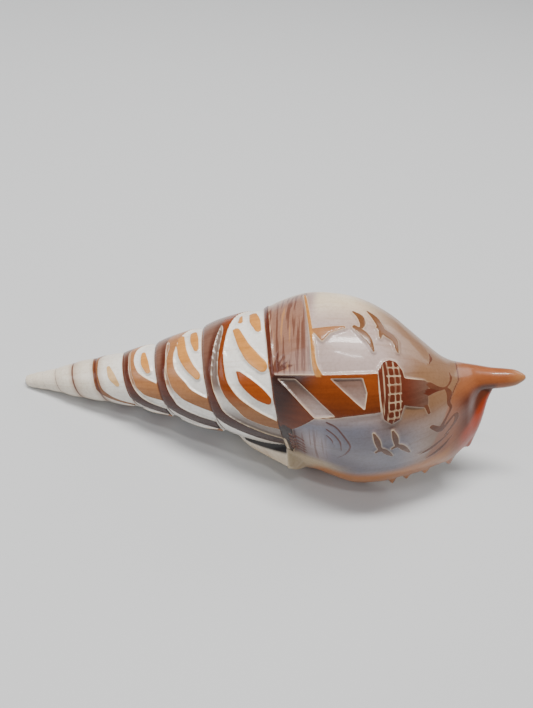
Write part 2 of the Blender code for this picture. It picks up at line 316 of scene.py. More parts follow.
def spire(count, turn):
    """Radius of the spire: a band swollen as a sine between two sutures, raised to the lip by the wing."""
    x = suture_path(count - 1 + turn)
    bare = spire_radius(x) * (1 + WHORL_SWELL * np.sin(math.pi * (count % 1.0) ** SWELL_SKEW))
    return bare + np.maximum(lip_radius(x) - bare, 0.0) * wing_share(x, turn, count)


def place(x, radius, turn):
    """Points round the axis: the centre line bent as the canal is, plus the radius at the turn's angle."""
    angle = angle_at(turn)
    y = radius * np.cos(angle) + canal_bend(x) * math.cos(LIP_ANGLE)
    z = radius * np.sin(angle) + canal_bend(x) * math.sin(LIP_ANGLE)
    return np.stack([x + 0 * y, y, z], axis=-1)


def lay_down(points):
    """Tip the axis up from the floor, move the apex to its place and flatten what would pass the floor."""
    cos_rise, sin_rise = math.cos(AXIS_RISE), math.sin(AXIS_RISE)
    x, y, z = points.T
    laid = np.stack([x * cos_rise - z * sin_rise, y, x * sin_rise + z * cos_rise], axis=1) + APEX_PLACE
    laid[:, 2] = np.maximum(laid[:, 2], 0.0)
    return laid


def tapered(x, y, dx, dy, first, second):
    """Signed distance inside a stretch between two discs, from the first one's middle to dx, dy.

    The distance is the radius, which changes evenly on the way, less the distance to the middle line.
    """
    along = np.clip((x * dx + y * dy) / (dx * dx + dy * dy), 0.0, 1.0)
    return first + (second - first) * along - np.hypot(x - along * dx, y - along * dy)


def chain(x, y, points):
    """Signed distance inside a chain of discs joined point to point. Each point is x, y, radius."""
    stretches = zip(points, points[1:])
    return np.max([tapered(x - x0, y - y0, x1 - x0, y1 - y0, r0, r1)
                   for (x0, y0, r0), (x1, y1, r1) in stretches], axis=0)


def polygon(x, y, corners):
    """Signed distance inside a closed outline: the way to its nearest edge, signed by crossings."""
    nearest = np.full(np.broadcast(x, y).shape, np.inf)
    inside = np.zeros(nearest.shape, bool)
    for (x0, y0), (x1, y1) in zip(corners, corners[1:] + corners[:1]):
        dx, dy = x1 - x0, y1 - y0
        nearest = np.minimum(nearest, -tapered(x - x0, y - y0, dx, dy, 0.0, 0.0))
        if dy != 0:
            inside = inside ^ (((y0 <= y) != (y1 <= y)) & (x < x0 + (y - y0) * dx / dy))
    return np.where(inside, nearest, -nearest)


def above(band, side, width, degree, knots):
    """Distance above a curve of band over side, in millimetres: height times the cosine of the slope."""
    curve = smooth_curve(knots)
    step = 0.5
    slope = (curve(side + step) - curve(side - step)) * width / (2 * step * degree)
    return (band - curve(side)) * width / np.sqrt(1 + slope * slope)


# Swags of the carved whorls, which swing across them twice in a turn, as points of side and band. All whorls
# share the lower edge of the dark band. Each has the dark band's upper edge and both edges of the next band.
SWAG_START = -112.0
SWAG_PERIOD = 180.0
SWAG_BASE = (
    (-112, 1), (-104, 0.55), (-94, 0.1), (-86, -0.3), (20, -0.25), (40, 0), (52, 0.28), (58, 0.5),
    (64, 0.8), (68, 1.05))
NO_SWAG = ((-112, 1), (60, 1))
SWAGS = {
    7: (((-112, 0.98), (-95, 0.68), (-64, 0.46), (-23, 0.24), (2, 0.15), (20, 0.18), (37, 0.3), (46, 0.54),
         (52, 0.78), (57, 1.05)),
        ((-112, 0.9), (-90, 0.6), (-64, 0.44), (-47, 0.43), (-17, 0.32), (0, 0.28), (16, 0.31), (27, 0.41),
         (37, 0.56), (41, 0.76), (44, 1.05)),
        ((-112, 1), (-80, 0.7), (-37, 0.46), (-11, 0.39), (7, 0.41), (19, 0.52), (26, 0.66), (32, 0.84),
         (37, 1.05))),
    6: (((-112, 0.95), (-62, 0.36), (-21, 0.27), (-1, 0.22), (24, 0.27), (39, 0.42), (45, 0.66), (51, 1.05)),
        ((-112, 0.9), (-62, 0.33), (-48, 0.38), (-25, 0.31), (-1, 0.29), (17, 0.37), (27, 0.54), (33, 0.81),
         (37, 1.05)),
        ((-112, 1), (-41, 0.5), (-23, 0.44), (-8, 0.46), (4, 0.58), (14, 0.71), (19, 0.89), (22, 1.05))),
    5: (((-112, 0.95), (-63, 0.24), (-32, 0.2), (1, 0.22), (22, 0.32), (35, 0.48), (44, 0.74), (50, 1.05)),
        ((-112, 0.9), (-63, 0.26), (-51, 0.26), (-25, 0.27), (1, 0.32), (20, 0.44), (29, 0.66), (34, 1.05)),
        ((-112, 1), (-51, 0.42), (-23, 0.42), (-7, 0.57), (3, 0.83), (9, 1.05))),
    4: (((-112, 0.9), (-60, 0.16), (-35, 0.13), (0, 0.12), (33, 0.25), (50, 0.6), (60, 1.05)),
        NO_SWAG, NO_SWAG),
}

# Leaves between the swags: side, band and half width along their middle line, and their colour.
LEAVES = {
    7: ((((-4, 0.545, 0.5), (4, 0.62, 1.6), (12, 0.75, 2), (17, 0.87, 1.4)), ORANGE),
        (((-43, 0.6, 0.8), (-33, 0.635, 1.1), (-24, 0.68, 1.4), (-15, 0.765, 1.9), (-9, 0.87, 1.8)),
         GOLD),
        (((-62, 0.83, 1), (-50, 0.85, 1.4), (-40, 0.88, 0.9)), GOLD),
        (((-64, 0.68, 0.3), (-53, 0.66, 0.6)), GOLD)),
    6: ((((-56, 0.6, 0.8), (-30, 0.61, 1.3), (-13, 0.7, 1.3), (-3, 0.83, 1.2)), GOLD),
        (((-58, 0.82, 0.9), (-44, 0.84, 1.2), (-32, 0.87, 0.8)), GOLD)),
    5: ((((-44, 0.68, 0.7), (-26, 0.72, 1.2), (-12, 0.79, 0.8)), GOLD),),
    4: ((((-26, 0.52, 0.6), (-6, 0.6, 1.2), (10, 0.72, 0.8)), PALE_GOLD),),
}

# Side where the wing starts and the swags stop.
WING_SIDE = 67.0

# The slit beside the wing, painted near black as its shadow: half width, millimetres in a turn, place beside
# the edge, fade at its tip.
SLIT_HALF_WIDTH = 0.4
SLIT_ROUND = 120.0
SLIT_TURN = 0.003
SLIT_FADE = (70.0, 67.0)
SLIT_MARGIN = -0.6

# The scene on the last whorl. A corner is a distance along the axis and a side, and a point of a chain adds
# its half width. SIDE_MM is the length of one degree of side.
SIDE_MM = 0.42
TOWER = ((80, -1.5), (96, -1), (108.6, -1.5), (109.3, 22), (101.5, 23), (92.2, 26), (83.6, 43), (80, 44))
TOWER_STRIPES = (
    ((82.9, 1), (87.8, 1), (97.8, 23), (92.4, 25.5)),
    ((96.8, 1), (105, 1), (106, 10), (105.3, 20)))
GALLERY = (
    (108.8, -3), (110.2, -8.5), (111.8, -10), (113.4, -9), (115, -3), (115.8, 6), (115.8, 14), (115.1, 21),
    (114, 29), (112, 31), (110, 27), (109.3, 12))
# The gallery bows as a parabola over side. Its ring has a place and a reach, and its spans run from to.
GALLERY_BOW = 0.0016
GALLERY_MIDDLE = 10.0
GALLERY_RING = (111.0, 19.0)
GALLERY_SPAN = (108.0, 117.0)
RAILS = (110.3, 111.5, 113.1, 114.4)
BARS = (-5.0, 0.5, 6.0, 11.5, 17.0, 22.5, 27.0)
BAR_SPAN = (111.0, 114.8)
RAIL_HALF_WIDTH = 0.17
LANTERN = ((115.4, 2), (120.8, 4), (121.6, 6), (121.6, 23), (120.4, 25), (115.2, 20))
FINIAL = ((121, 14, 1.4), (122.6, 14, 0.9), (124.6, 14, 0.4))
PENNANT = ((92.6, -29), (100.6, -30.5), (96.8, -27), (94.9, -22), (93.6, -26))
GULLS = (
    ((102.8, -44, 0.15), (104.6, -40, 0.75), (105.3, -35, 0.7), (105, -31, 0.35)),
    ((103.2, -31, 0.5), (105.4, -26.5, 0.85), (106.9, -22, 0.65), (107.9, -15, 0.15)),
    ((106.6, -47, 0.15), (108.4, -42, 0.75), (109.6, -36, 0.8), (110.2, -32, 0.8)),
    ((109.4, -33, 0.6), (111.6, -29, 1), (113.3, -25.5, 0.75), (114, -16, 0.15)),
    ((110, -31, 0.6), (109.7, -25, 0.2)),
    ((107.4, 36, 0.2), (108.2, 42, 0.65), (108.9, 49, 0.4)),
    ((107.8, 52, 0.2), (109.4, 50, 0.5), (110.8, 54, 0.6), (112.2, 59, 0.15)),
    ((112.2, 36, 0.2), (112.9, 42, 0.65), (113.3, 49, 0.4)),
    ((112, 51, 0.2), (113.8, 49.5, 0.5), (115.3, 54, 0.6), (116.9, 61, 0.15)))
GULL_SPREAD = 0.12
WISPS = (
    ((122, 8, 0.9), (124.6, 13, 0.8), (126.6, 13, 0.4), (127.8, 9, 0.3), (128.4, 1, 0.35), (128, -8, 0.1)),
    ((126.6, 13, 0.4), (127.6, 20, 0.8), (127.4, 30, 0.5), (128, 37, 0.4), (126.2, 46, 0.5), (125, 52, 0.9)),
    ((125, 52, 0.9), (122.6, 44, 0.6)),
    ((125.6, 54, 0.6), (129.2, 47, 0.5), (129.6, 56, 0.7), (126.6, 63, 0.3)),
    ((122.4, -28, 0.1), (123, -20, 0.4), (122.4, -12, 0.2)),
    ((121, 24, 0.5), (121.8, 31, 0.4)),
    ((119.5, 69, 0.1), (123, 68, 0.6), (127.9, 64, 0.2)),
    ((121.5, 77, 0.1), (125.1, 75, 0.6), (128.8, 70, 0.2)))
GOLD_POST = ((89.6, -66, 0.3), (91.1, -43, 0.4), (92.3, -24, 0.5), (92.9, -8, 0.6), (94, -0.5, 1))
SAIL = (
    ((95.4, 28, 0.2), (97.8, 31, 0.22), (99.8, 38, 0.24), (101.2, 46, 0.24), (99.8, 54, 0.22),
     (97.6, 60, 0.1)),
    ((95.3, 33, 0.2), (97.3, 37, 0.22), (98.7, 43, 0.22), (98.8, 50, 0.1)),
    ((95.3, 38, 0.2), (96.5, 41.5, 0.2), (97, 47, 0.08)))
FAN_LEANS = (0.0, 0.35, 0.7, 1.0)
FRINGE_SIDES = (45.0, 49.5, 54.0, 58.5, 63.0)
BORDER_PLACE = 130.6


def blank(shape, ground):
    """Looks of an uncarved stretch: far from every figure and line, on a ground of scene-linear colour."""
    look = {name: np.full(shape, FAR) for name in DISTANCES}
    look.update({name: np.zeros(shape) for name in SHARES})
    look["tint"] = np.zeros(shape + (3,)) + BROWN
    look["ground"] = np.zeros(shape + (3,)) + ground
    return look


def mixed(low, high, share):
    """Colours from low to high: low plus the difference times a share between 0 and 1."""
    return low + (high - low) * np.asarray(share)[..., None]


def slit(x, turn, count):
    """Distance inside the wing's slit, where its shadow is painted: its half width less the way from its
    middle, and none past its tip.
    """
    off = SLIT_ROUND * np.abs(turn - wing_edge(x) - SLIT_TURN)
    return SLIT_HALF_WIDTH - off + FAR * between(x, *SLIT_FADE) - 9 * (count < PENULTIMATE)


def look_of_spire(count, turn):
    """Looks of the spire: cream at the apex, and on the wide whorls swags with leaves between them.

    A swag is raised where it is above its lower edge and below its upper edge, so the distance inside it is
    the smaller of the two.
    """
    x = suture_path(count - 1 + turn)
    side = (side_at(turn) - SWAG_START) % SWAG_PERIOD + SWAG_START
    whole = np.floor(count) + 0 * turn
    band = count - np.floor(count) + 0 * turn
    width = suture_path(whole + turn) - suture_path(whole - 1 + turn)
    degree = np.radians(spire_radius(x))
    look = blank(x.shape, mixed(APEX_WHITE, CARVED_WHITE, between(x, 20, 40)))
    for number, edges in SWAGS.items():
        widest = number == PENULTIMATE
        base, over_dark, over_low, over_high = [
            above(band, side, width, degree, edge) for edge in (SWAG_BASE,) + edges]
        first = np.minimum(base, -over_dark)
        second = np.minimum(over_low, -over_high)
        raised = np.maximum(first, second)
        inner = between(-over_dark, 0.7, 2.4) * between(side, 24, -30)
        ember = 0.75 * ORANGE if widest else TAN
        tint = ROSE * 0.62
        for colour, share in (
                (BROWN, between(side, -76, -22)),
                # Towards the lower side the band darkens to umber and the next band to a darker tan: painted
                # shade.
                (SHADE_UMBER, between(side, 10, 50)),
                (ROSE * 0.8, 0.8 * inner),
                (mixed(ember, TAN * 0.7, between(side, 8, 30)), between(second - first, -0.4, 0.4)),
                (TAN, 0.5 * (number == FIRST_CARVED))):
            tint = mixed(tint, colour, share)
        parted = (over_dark > 0) * (over_low < 0)
        strip = between(side, 26, 4) * parted * (number > FIRST_CARVED)
        ground = mixed(look["ground"], ROSE * 0.4 if widest else TAN * 0.8, 0.92 * strip)
        for points, colour in LEAVES[number]:
            leaf = leaf_distance(side, band, degree, width, points)
            tint = np.where((leaf > raised)[..., None], colour, tint)
            raised = np.maximum(raised, leaf)
        if widest:
            raised = np.where(side_at(turn) > WING_SIDE, FAR, raised)
            # The strip's darker rose-brown on the lower side is partly its own brownish grey, partly painted
            # shade.
            ground = mixed(ground, ROSE * 0.35, 0.8 * between(side, 18, 40) * parted)
        here = whole == number
        look["raised"] = np.where(here, raised, look["raised"])
        look["tint"] = np.where(here[..., None], tint, look["tint"])
        look["ground"] = np.where(here[..., None], ground, look["ground"])
    covered = wing_share(x, turn, count)
    # Tan on the narrow whorls just past each suture.
    tan_by_suture = between(x, 6, 20) * between(band, 0.4, 0) * between(x, 42, 34)
    look["ground"] = mixed(look["ground"], TAN * 0.8, 0.62 * tan_by_suture)
    # Where the wing covers the spire its cream is darkened: painted shade.
    look["ground"] = mixed(look["ground"], CREAM * 0.7, covered)
    look["panel"] = between(x, 30, 42) * (1 - covered)
    look["gap"] = slit(x, turn, count)
    plain = (whole < FIRST_CARVED) | (covered > 0.0) | (look["gap"] > SLIT_MARGIN)
    look["raised"] = np.where(plain, FAR, look["raised"])
    seam = np.minimum(band, 1 - band) * width
    look["dark"] = np.where((band < 0.5) & (covered == 0.0), 0.4 * between(x, 8, 22) - seam, FAR)
    return look


def rounded(points):
    """Points of a chain with three more between each two, on smooth curves through the given ones."""
    knots = np.arange(len(points))
    fine = np.linspace(0, len(points) - 1, 4 * len(points) - 3)
    a, b, radius = [smooth_curve(np.stack([knots, of], axis=1))(fine) for of in np.array(points).T]
    return list(zip(a, b, np.maximum(radius, 0.02)))


def leaf_distance(side, band, degree, width, points):
    """Signed distance inside a leaf: a chain of discs, measured with the whorl's own width and roundness."""
    points = rounded(points)
    return np.max([
        tapered((side - s0) * degree, (band - b0) * width, (s1 - s0) * degree, (b1 - b0) * width, r0, r1)
        for (s0, b0, r0), (s1, b1, r1) in zip(points, points[1:])], axis=0)


def figures(x, side, chains):
    """Distance inside the nearest of some rounded chains, with points given along the axis and by side."""
    return np.max([
        chain(x, side * SIDE_MM, [(a, b * SIDE_MM, radius) for a, b, radius in rounded(points)])
        for points in chains], axis=0)


def outline(x, side, corners):
    """Distance inside an outline whose corners are given along the axis and by side."""
    return polygon(x, side * SIDE_MM, [(a, b * SIDE_MM) for a, b in corners])


def foot_strokes():
    """Strokes at the tower's foot: reeds that fan out from one point and a fringe of short ones."""
    fan = [((82.0, -3.5, 0.4), (82.4 + 2.2 * lean, -10.0 + 4.0 * lean, 0.34),
            (83.2 + 3.8 * lean, -18.0 + 10.5 * lean, 0.16)) for lean in FAN_LEANS]
    return fan + [((85.4, start, 0.7), (87.2, start + 1.5, 0.42), (89.0, start + 4.0, 0.16))
                  for start in FRINGE_SIDES]


def gallery_bow(side):
    """How far the gallery's rails bow: a parabola over side."""
    return GALLERY_BOW * (side - GALLERY_MIDDLE) ** 2


def gallery_edge(x, side):
    """Distance inside the ring that is engraved along the gallery's near edge."""
    place_of_ring, reach = GALLERY_RING
    ring = 0.2 - np.abs(x - place_of_ring + gallery_bow(side))
    return ring - 9.0 * (np.abs(side - GALLERY_MIDDLE) > reach)


def gallery_grid(x, side, gallery):
    """Distance inside the gallery's pale rails, which bow, and the straight bars between two of them."""
    rails = np.max([RAIL_HALF_WIDTH - np.abs(x - rail + gallery_bow(side)) for rail in RAILS], axis=0)
    bars = np.max([RAIL_HALF_WIDTH - np.abs(side - bar) * SIDE_MM for bar in BARS], axis=0)
    bars = np.where((x > BAR_SPAN[0]) & (x < BAR_SPAN[1]), bars, FAR)
    grid = np.minimum(np.maximum(rails, bars), gallery - 0.2)
    return np.where((x > GALLERY_SPAN[0]) & (x < GALLERY_SPAN[1]), grid, FAR)


def raised_on_body(x, side, suture, gallery, stripes):
    """Raised figures of the last whorl: the distance inside the nearest one and that figure's colour."""
    tower = np.minimum(outline(x, side, TOWER), -stripes)
    # The tower's orange darkens to brown towards the lower side: painted shade.
    tower_tint_and_shade = mixed(ORANGE * 0.8, BROWN, 0.65 * between(side, 2, 26))
    # Its lower corner by the foot turns deep brown: painted shade.
    shaded_corner = between(x + 0.3 * side, 100, 88) * between(x, 98, 88)
    curl = 0.55 - np.abs(x - suture - 0.55) - 2.0 * between(np.abs(side - 62), 7, 11)
    foot_width = 1.1 + 2.6 * between(side, -6, 42) - 1.6 * between(side, 58, 70)
    foot = np.minimum(np.minimum(suture + foot_width - x, (71.0 - side) * 0.3), -curl)
    raised, tint = np.full(x.shape, FAR), np.zeros(x.shape + (3,)) + BROWN
    for shape, colour in (
            (tower, mixed(tower_tint_and_shade, BROWN * 0.3, shaded_corner)),
            (gallery, BROWN * 1.35),
            (outline(x, side, LANTERN), mixed(BROWN * 1.4, ROSE * 0.5, between(x, 115, 122))),
            (figures(x, side, (FINIAL,)), BROWN * 1.2),
            (figures(x, side, GULLS) + GULL_SPREAD,
             mixed(TAN * 0.5, ROSE * 0.55, between(side, 20, 45))),
            (figures(x, side, WISPS), CLOUD_BROWN),
            (outline(x, side, PENNANT) + 0.35, TAN * 0.9),
            (figures(x, side, (GOLD_POST,)), GOLD * 0.8),
            # The foot darkens to umber towards the lower side: painted shade.
            (foot, mixed(BROWN * 1.1, SHADE_UMBER * 0.5, between(side, 0, 45))),
            (curl, CREAM * 0.85)):
        tint = np.where((shape > raised)[..., None], colour, tint)
        raised = np.maximum(raised, shape)
    return raised, tint


def ground_of_body(x, side, turn, stripes, brink, upper, lower):
    """Cut ground of the last whorl: colours laid over the sky's grey in order, each in its smooth share. Some
    are painted shade, and the lavender is in part a painted reflection.
    """
    in_stripe = between(stripes, -0.2, 0.3)
    canal_share = between(brink, 130.2, 131.6) * 0.75 + between(brink, 131.6, 140) * 0.25
    rim = between(turn, 0.925, 0.945) * between(x + 120 * (turn - 0.94), 88, 94)
    ground = SKY_GREY
    for colour, share in (
            (ROSE, upper),
            (ROSE * 0.5, between(x, 90, 84) * between(side, 24, 34)),
            # Lavender on the lower sky: partly the pearly ground, partly a painted blue reflection and
            # painted shade.
            (LAVENDER_AND_REFLECTED_BLUE, between(side, 22, 34) * between(x, 124, 112) * 0.88 * (1 - lower * 0.4)),
            (BROWN * 0.5, between(x, 92, 84.5) * between(side, 34, 44) * 0.8),
            (ROSE * 0.55, in_stripe * between(side, 26, 2) * 0.9),
            (ROSE * 0.26, in_stripe * between(side + x, 112, 88) * 0.9),
            (CREAM, between(side, -30, -62) * between(x, 91.5, 94) * 0.9),
            (BEIGE * 0.68, between(x + 0.16 * np.abs(side + 10), 109, 122) * between(side, 50, 24)),
            (BEIGE * 0.62, between(x, 116, 127) * between(side, 22, 60)),
            (CANAL_TAN, canal_share),
            (CREAM, between(np.abs(side), 66, 116) * (turn < 0.7) * between(x, 134, 120)),
            # Brown on the canal's lower side and its fold into the lip: painted shade.
            (BROWN, between(x, 128, 133) * between(side, 18, 44) * between(side, 86, 76) * 0.9),
            (LIP_RED, between(x, 130, 133) * between(side, 72, 82)),
            # The wing's cream on the last whorl, darkened: painted shade.
            (CREAM * 0.6, between(x, 104, 90) * between(side, 67, 76) * (turn > 0.7)),
            (LIP_TAN, rim * between(x, 130, 127))):
        ground = mixed(ground, colour, share)
    return ground


def look_of_body(x, turn):
    """Looks of the last whorl: a tower on its side, birds, clouds and reeds left raised in a cut pale sky.

    The reeds grow in an upper and a lower field. The carving ends where the shown side and the canal do.
    """
    side = side_at(turn) + 0 * x
    side = np.where(side < -110, side + 360, side)
    suture = suture_path(LAST - 1 + turn)
    gallery = outline(x, side, GALLERY)
    stripes = np.max([outline(x, side, stripe) for stripe in TOWER_STRIPES], axis=0)
    brink = x + 0.13 * np.maximum(side - 6.0, 0.0)
    upper = between(x, 92.4, 90.6 + 0.03 * side) * between(side, 0, -5)
    lower = between(x, 97, 92) * between(side, 30, 46)
    shown = between(side, 84, 74) * between(side, -96, -84) * between(x, 124, 116)
    look = blank(x.shape, ground_of_body(x, side, turn, stripes, brink, upper, lower))
    look["raised"], look["tint"] = raised_on_body(x, side, suture, gallery, stripes)
    border = 0.22 - np.abs(brink - BORDER_PLACE) - 0.2 * between(side, 20, 40)
    strokes = figures(x, side, foot_strokes() + list(SAIL))
    look["dark"] = np.maximum.reduce([strokes, border, gallery_edge(x, side)])
    look["pale"] = gallery_grid(x, side, gallery)
    reed = np.maximum(upper, 0.8 * lower * between(side, 74, 62)) * between(np.abs(side), 92, 84)
    look["reed"] = reed * (shown > 0.5)
    look["panel"] = shown * (1 - between(side, 66, 74) * between(x - suture, 4, 1))
    coloured = (np.abs(side) < 88.0) & (x < 132.0)
    for name in ("raised", "dark", "pale"):
        look[name] = np.where(coloured, look[name], FAR)
    return look


def relief(look, sizes):
    """Depth below the shell's skin: the cut ground outside the figures, with a sloped wall, and the lines."""
    wall = sizes.wall_width / MM
    cut = between(-look["raised"], 0, wall) * look["panel"] * sizes.cut_depth / MM
    lines = between(look["dark"], -0.25, 0.1) * look["panel"] * sizes.line_depth / MM
    return cut + lines


def columns_of_turn():
    """Turns of the columns: evenly spaced, and closer on the carved side."""
    hidden = np.linspace(0.0, SHOWN_FROM, HIDDEN_COLUMNS + 1)[:-1]
    return np.concatenate([hidden, np.linspace(SHOWN_FROM, 1.0, SHOWN_COLUMNS + 1)])


class Surface:
    """Vertices with their looks, and faces, gathered as whole arrays."""

    def __init__(self):
        self.points, self.looks, self.faces, self.size = [], [], [], 0

    def add(self, points, look, part=...):
        """Add a block of points, or part of it, with its looks, and return the points' numbers."""
        points = points[part]
        shape = points.shape[:-1]
        self.points.append(points.reshape(-1, 3))
        block = {}
        for name, values in look.items():
            values = values[part]
            block[name] = values.reshape((-1,) + values.shape[len(shape):])
        self.looks.append(block)
        first = self.size
        self.size += int(np.prod(shape))
        return np.arange(first, self.size).reshape(shape)

    def quads(self, ids):
        """Faces between neighbouring rows and columns, each as two triangles, without repeated corners."""
        a, b, c, d = ids[:-1, :-1], ids[:-1, 1:], ids[1:, 1:], ids[1:, :-1]
        self.triangles(np.stack([a, b, c], axis=-1).reshape(-1, 3))
        self.triangles(np.stack([a, c, d], axis=-1).reshape(-1, 3))

    def triangles(self, corners):
        """Triangles that have three different corners."""
        a, b, c = corners.T
        self.faces.append(corners[(a != b) & (b != c) & (a != c)])

    def fan(self, ring, tip):
        """Triangles from a closed ring to one tip."""
        self.triangles(np.stack([ring, np.roll(ring, -1), np.full(len(ring), tip)], axis=1))

    def zipper(self, left, right, left_at, right_at):
        """Triangles between two rows of unlike length, taking their edges in the order of their middles."""
        middles = np.concatenate([(left_at[1:] + left_at[:-1]) / 2, (right_at[1:] + right_at[:-1]) / 2])
        of_left = np.arange(len(middles)) < len(left) - 1
        order = np.argsort(middles, kind="stable")
        of_left = of_left[order]
        i = np.concatenate([[0], np.cumsum(of_left)[:-1]])
        j = np.concatenate([[0], np.cumsum(~of_left)[:-1]])
        on_left = np.stack([left[i], right[j], left[np.minimum(i + 1, len(left) - 1)]], axis=1)
        on_right = np.stack([right[j], right[np.minimum(j + 1, len(right) - 1)], left[i]], axis=1)
        self.triangles(np.where(of_left[:, None], on_left, on_right))


def add_outside(surface, sizes):
    """Add the winding strip of spire, last whorl and canal, and return the lip's and the inner edge's rows.

    Each point is the shell's radius less the relief, at its turn. Rows of the last whorl are even shares of
    the way from the suture to the aperture's end, where the canal's rows follow.
    """
    turn = columns_of_turn()[None, :]
    plain = np.arange(FIRST_COUNT, FIRST_CARVED, 1.0 / PLAIN_ROWS)
    carved = np.arange(FIRST_CARVED * CARVED_ROWS, int(LAST) * CARVED_ROWS) / CARVED_ROWS
    count = np.concatenate([plain, carved])[:, None]
    look = look_of_spire(count, turn)
    points = place(suture_path(count - 1 + turn), spire(count, turn) - relief(look, sizes), turn)
    numbers = surface.add(points, look, np.s_[:, :-1])
    last = surface.add(points, look, np.s_[-CARVED_ROWS + 1:, -1])

    start = suture_path(LAST - 1 + turn)
    x = start + (APERTURE_END - start) * np.linspace(0.0, 1.0, BODY_ROWS + 1)[:, None]
    look = look_of_body(x, turn)
    points = place(x, body(x, turn) - relief(look, sizes), turn)
    body_ids = surface.add(points, look, np.s_[:, :-1])
    body_last = surface.add(points, look, np.s_[:-1, -1])
    body_ids = np.column_stack([body_ids, np.append(body_last, body_ids[-1, 0])])

    # The last column is the first column one whorl further on.
    rows, ratio = len(plain), CARVED_ROWS // PLAIN_ROWS
    seam = np.concatenate([
        numbers[PLAIN_ROWS:rows, 0], numbers[rows:rows + CARVED_ROWS:ratio, 0],
        numbers[rows + CARVED_ROWS:, 0], body_ids[:1, 0], last])
    ids = np.column_stack([numbers, seam])
    surface.quads(ids[:, :-1])
    surface.quads(ids[:rows - PLAIN_ROWS + 1, -2:])
    surface.quads(ids[rows:, -2:])
    # Where plain rows meet carved ones across that seam, each wide step is filled by a fan of narrow ones.
    fine = numbers[rows:rows + CARVED_ROWS + 1, 0]
    near = ids[rows - PLAIN_ROWS:rows + 1, -2]
    for k in range(ratio):
        pair = [fine[k:CARVED_ROWS:ratio], fine[k + 1::ratio][:PLAIN_ROWS]]
        surface.triangles(np.stack([near[:-1]] + pair, axis=1))
    surface.triangles(np.stack([near[:-1], fine[ratio::ratio], near[1:]], axis=1))

    surface.quads(np.stack([ids[-1], body_ids[0]]))
    surface.quads(body_ids)

    along = np.linspace(0.0, 1.0, CANAL_ROWS + 1)[1:, None] ** CANAL_CROWDING
    x = APERTURE_END + (LENGTH - TIP_SHORT - APERTURE_END) * along
    fading = mixed(CANAL_TAN, TAN, between(x, 143, 150))
    look = blank((CANAL_ROWS, turn.shape[1] - 1), fading)
    x = x + 0 * turn
    canal_ids = surface.add(place(x, canal(x, turn), turn)[:, :-1], look)
    canal_ids = np.column_stack([canal_ids, canal_ids[:, 0]])
    surface.quads(np.vstack([body_ids[-1:], canal_ids]))
    tip = surface.add(place(np.array([LENGTH]), np.array([0.0]), np.array([1.0])), blank((1,), TAN))
    surface.fan(canal_ids[-1, :-1], tip[0])
    apex = surface.add(np.zeros((1, 3)), blank((1,), APEX_WHITE))
    ring = np.concatenate([ids[0], ids[PLAIN_ROWS - 1:0:-1, 0]])
    surface.fan(ring[::-1], apex[0])
    lip = np.concatenate([ids[-CARVED_ROWS:, -1], body_ids[:, -1]])
    return lip, body_ids[:, 0]


def wing_top(x, turn):
    """Radius of the wing over the last band of the spire."""
    wing = ease((turn - wing_edge(x)) / WING_STEP)
    return spire_radius(x) + np.maximum(lip_radius(x) - spire_radius(x), 0.0) * wing


def aperture_row(edge_x, depth, roof):
    """One row of the aperture's floor or roof, at a depth in turns behind the lip's edge.

    The floor is the turn before this one, and the roof is the last turn less its wall. The row draws in
    from the aperture's two ends as it goes deeper, and the roof comes down to the floor at the far end.
    """
    start = suture_path(PENULTIMATE)
    share = (edge_x - start) / (APERTURE_END - start)
    suture = suture_path(LAST - depth)
    back = start + (suture + 2.0 - start) * min(1.0, depth / WING_DEPTH) ** 0.8
    front = APERTURE_END - APERTURE_SHORTENS * (depth / APERTURE_DEPTH) ** 0.55
    x = back + (front - back) * share
    turn = np.full_like(x, 1 - depth)
    floor = inner_face(x, turn - 1)
    if not roof:
        return place(x, floor, turn)
    clear = np.where(x < suture, wing_top(x, turn), body(x, turn)) - floor
    opening = np.maximum(clear - WALL, LEAST_OPENING * clear)
    return place(x, floor + opening * (1 - ease(depth / APERTURE_DEPTH) ** 2), turn)


def add_aperture(surface, lip, inner):
    """Add the lip's round edge, a half circle between its two faces, and the aperture's roof and floor."""
    points = np.concatenate(surface.points)
    lip_x, inner_x = points[lip, 0], points[inner, 0]
    radius = lip_radius(lip_x) + teeth(lip_x, np.ones_like(lip_x))
    thick = np.minimum(LIP_THICKNESS, 0.6 * (radius - inner_face(lip_x, np.zeros_like(lip_x))))
    nose = LIP_NOSE * (thick / LIP_THICKNESS) / (2 * math.pi * radius)
    roof, floor = [lip], [inner]
    for k in range(1, RIM_STEPS + 1):
        way = math.pi * k / RIM_STEPS
        row = place(lip_x, radius - 0.5 * thick * (1 - math.cos(way)), 1 + nose * math.sin(way))
        ids = surface.add(row[1:-1], blank((len(row) - 2,), LIP_TAN))
        roof.append(np.concatenate([lip[:1], ids, lip[-1:]]))
    for depth in DEPTHS:
        floor.append(surface.add(aperture_row(inner_x, depth, roof=False), blank(inner.shape, INSIDE_WHITE)))
        colour = mixed(LIP_TAN, INSIDE_WHITE, between(depth, 0, INSIDE_FADE))
        ids = surface.add(aperture_row(lip_x, depth, roof=True)[1:-1], blank((len(lip) - 2,), colour))
        roof.append(np.concatenate([floor[-1][:1], ids, floor[-1][-1:]]))
    surface.quads(np.stack(roof, axis=1))
    surface.quads(np.stack(floor[::-1], axis=1))
    surface.zipper(roof[-1], floor[-1], lip_x, inner_x)


